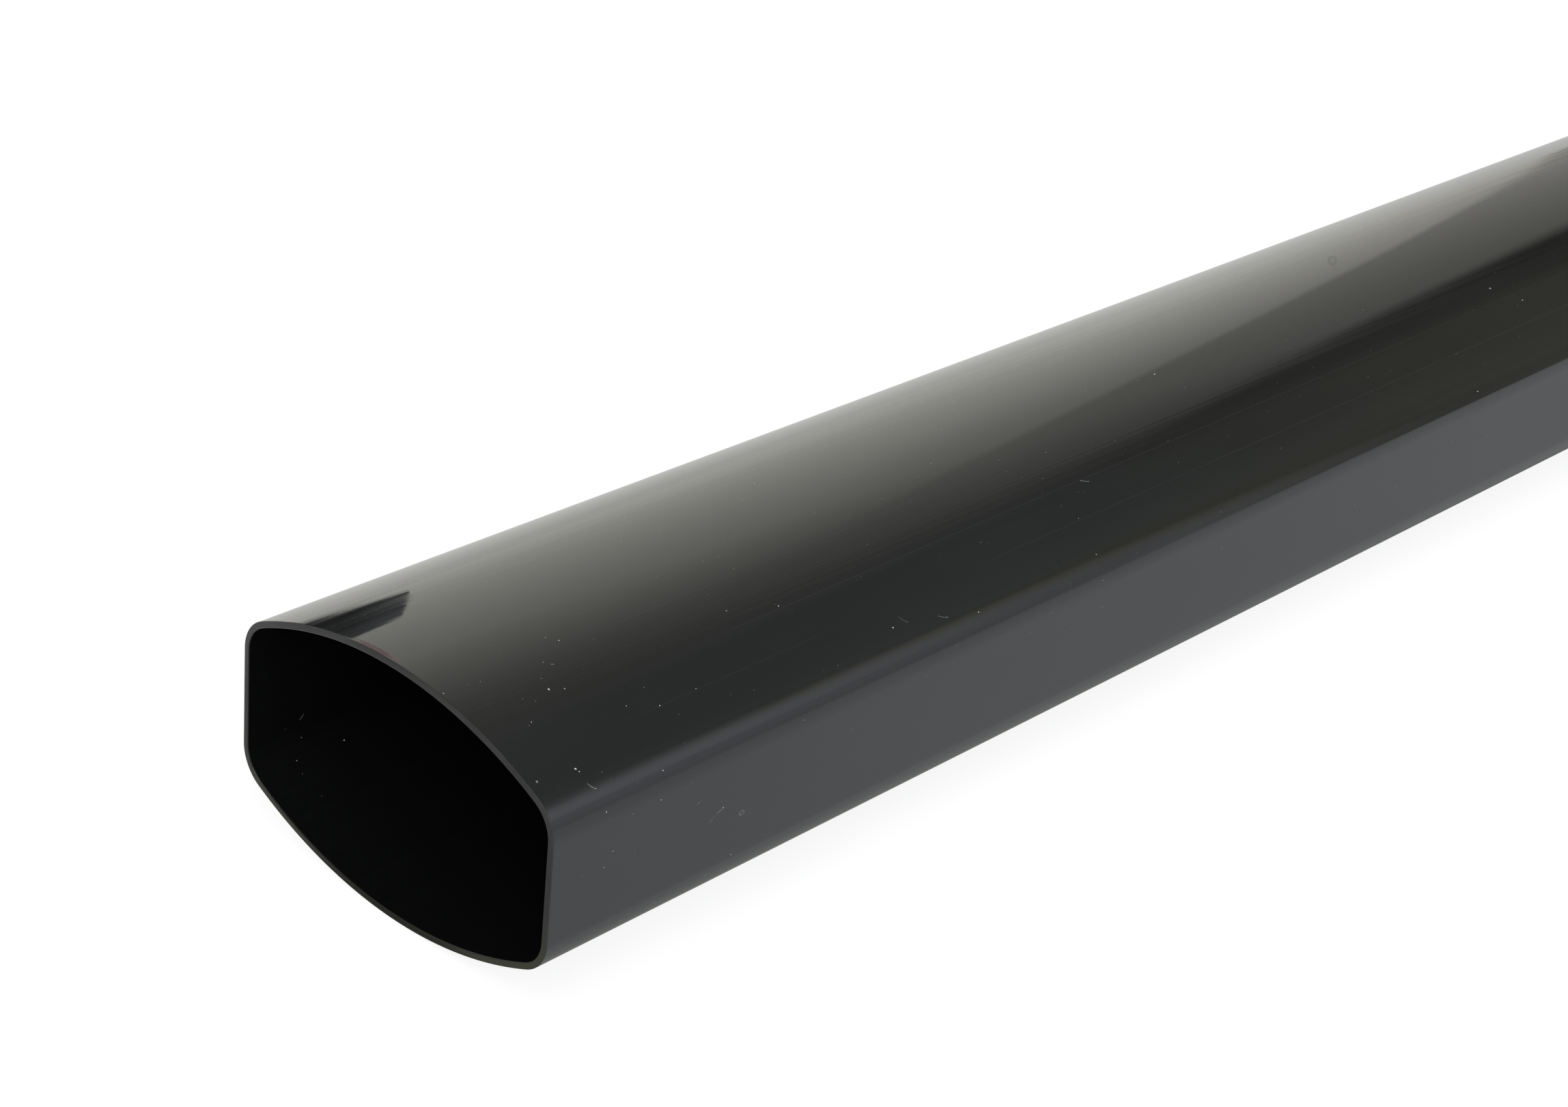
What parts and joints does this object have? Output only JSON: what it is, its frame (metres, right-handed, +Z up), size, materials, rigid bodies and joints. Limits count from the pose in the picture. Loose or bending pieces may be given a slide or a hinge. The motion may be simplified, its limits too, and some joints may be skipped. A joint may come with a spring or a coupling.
{
  "type": "downpipe",
  "caption": "Straight rainwater downpipe: thin-walled hollow extrusion with two bowed broad faces, two flat narrow sides and rounded corners, sawn square at both ends.",
  "frame": {"origin": "on the ground plane, under the middle of the pipe's length and width", "axes": "+Y along the pipe, towards the far end; +X across it, out of the right flat side; +Z up, out of the upper bowed face"},
  "size_m": [0.1, 2, 0.063],
  "materials": {
    "black_coat": "gloss"
  },
  "bodies": {
    "root": {"downpipe": "black_coat"}
  },
  "joints": []
}
